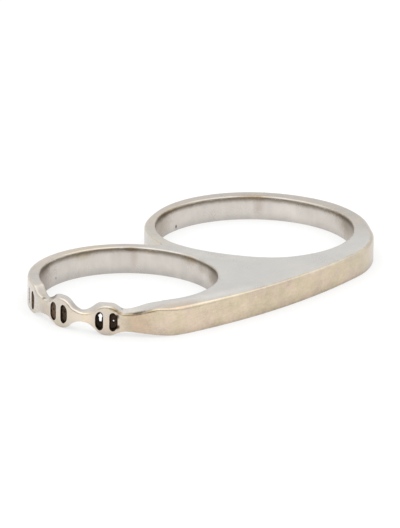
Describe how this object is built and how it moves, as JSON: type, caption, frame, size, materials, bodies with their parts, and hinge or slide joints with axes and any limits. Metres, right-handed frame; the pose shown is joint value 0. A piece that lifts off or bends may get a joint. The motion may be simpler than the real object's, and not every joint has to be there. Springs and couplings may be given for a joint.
{
  "type": "two finger ring",
  "caption": "Cast ring for two neighbouring fingers: two joined loops behind a plain bowed front bar, with pierced round links along the small loop's side.",
  "frame": {"origin": "on the surface that the ring lies on, under the middle of its outline", "axes": "+Z along both finger holes, +X from the small loop to the large one, and the bowed front bar faces -Y"},
  "size_m": [0.0384, 0.0222, 0.0028],
  "materials": {
    "white_gold": "satin white gold with a warm, unplated front bar and links, and dark residue in the slots"
  },
  "bodies": {
    "root": {"ring": "white_gold"}
  },
  "joints": []
}
